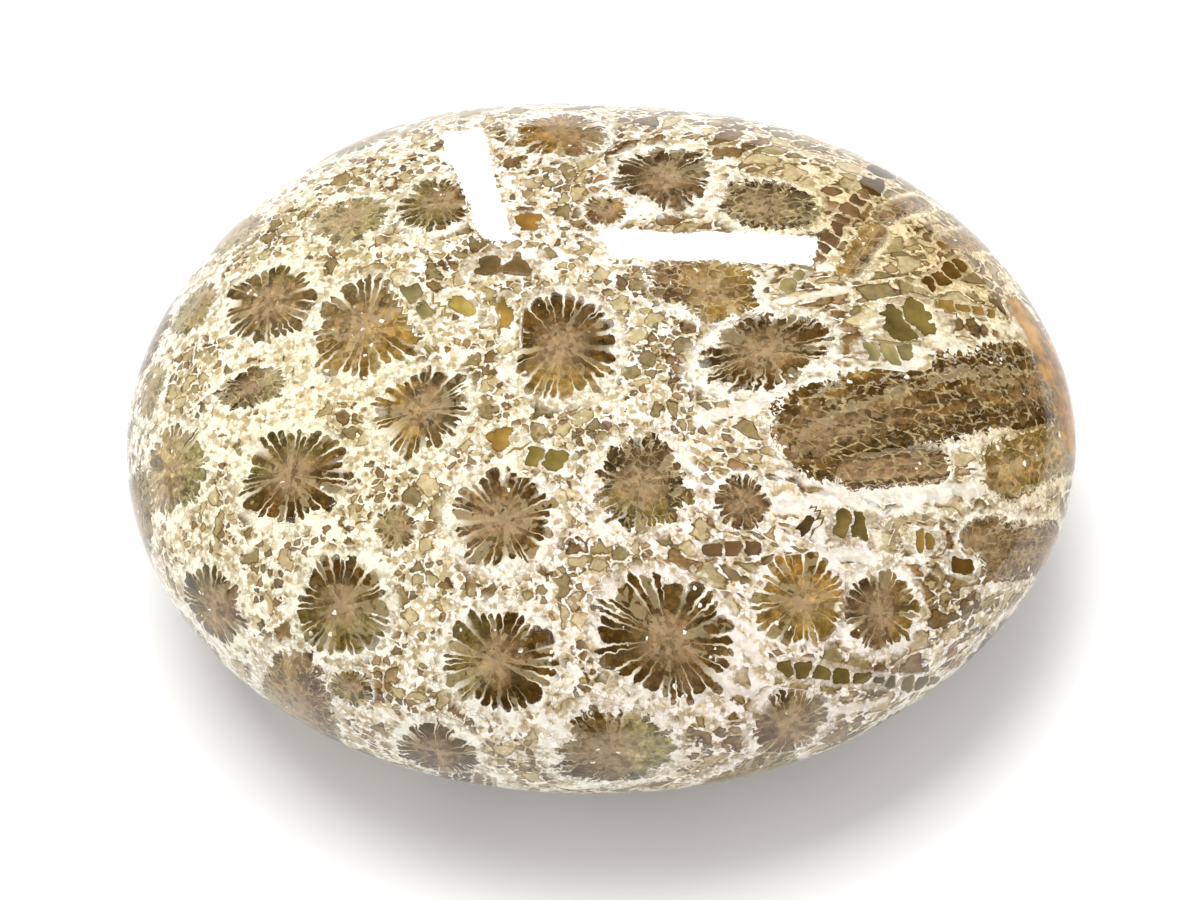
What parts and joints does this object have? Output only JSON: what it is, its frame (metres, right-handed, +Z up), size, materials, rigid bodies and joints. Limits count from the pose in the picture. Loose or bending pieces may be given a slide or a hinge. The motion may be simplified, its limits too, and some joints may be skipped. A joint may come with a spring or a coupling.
{
  "type": "polished fossil coral stone",
  "caption": "Polished oval stone of fossil coral with flower-shaped corallites, flat-bellied, rests on a table or in the palm.",
  "frame": {"origin": "on the flat rest face, under the middle of the stone's outline", "axes": "+Z up from the rest face to the crown, +X along the stone's length towards its pointed end"},
  "size_m": [0.0696, 0.0556, 0.027],
  "materials": {
    "fossil_coral": "high polish; cream and white coral skeleton with olive-brown chalcedony filling the corallites"
  },
  "bodies": {
    "root": {"coral_stone": "fossil_coral"}
  },
  "joints": []
}
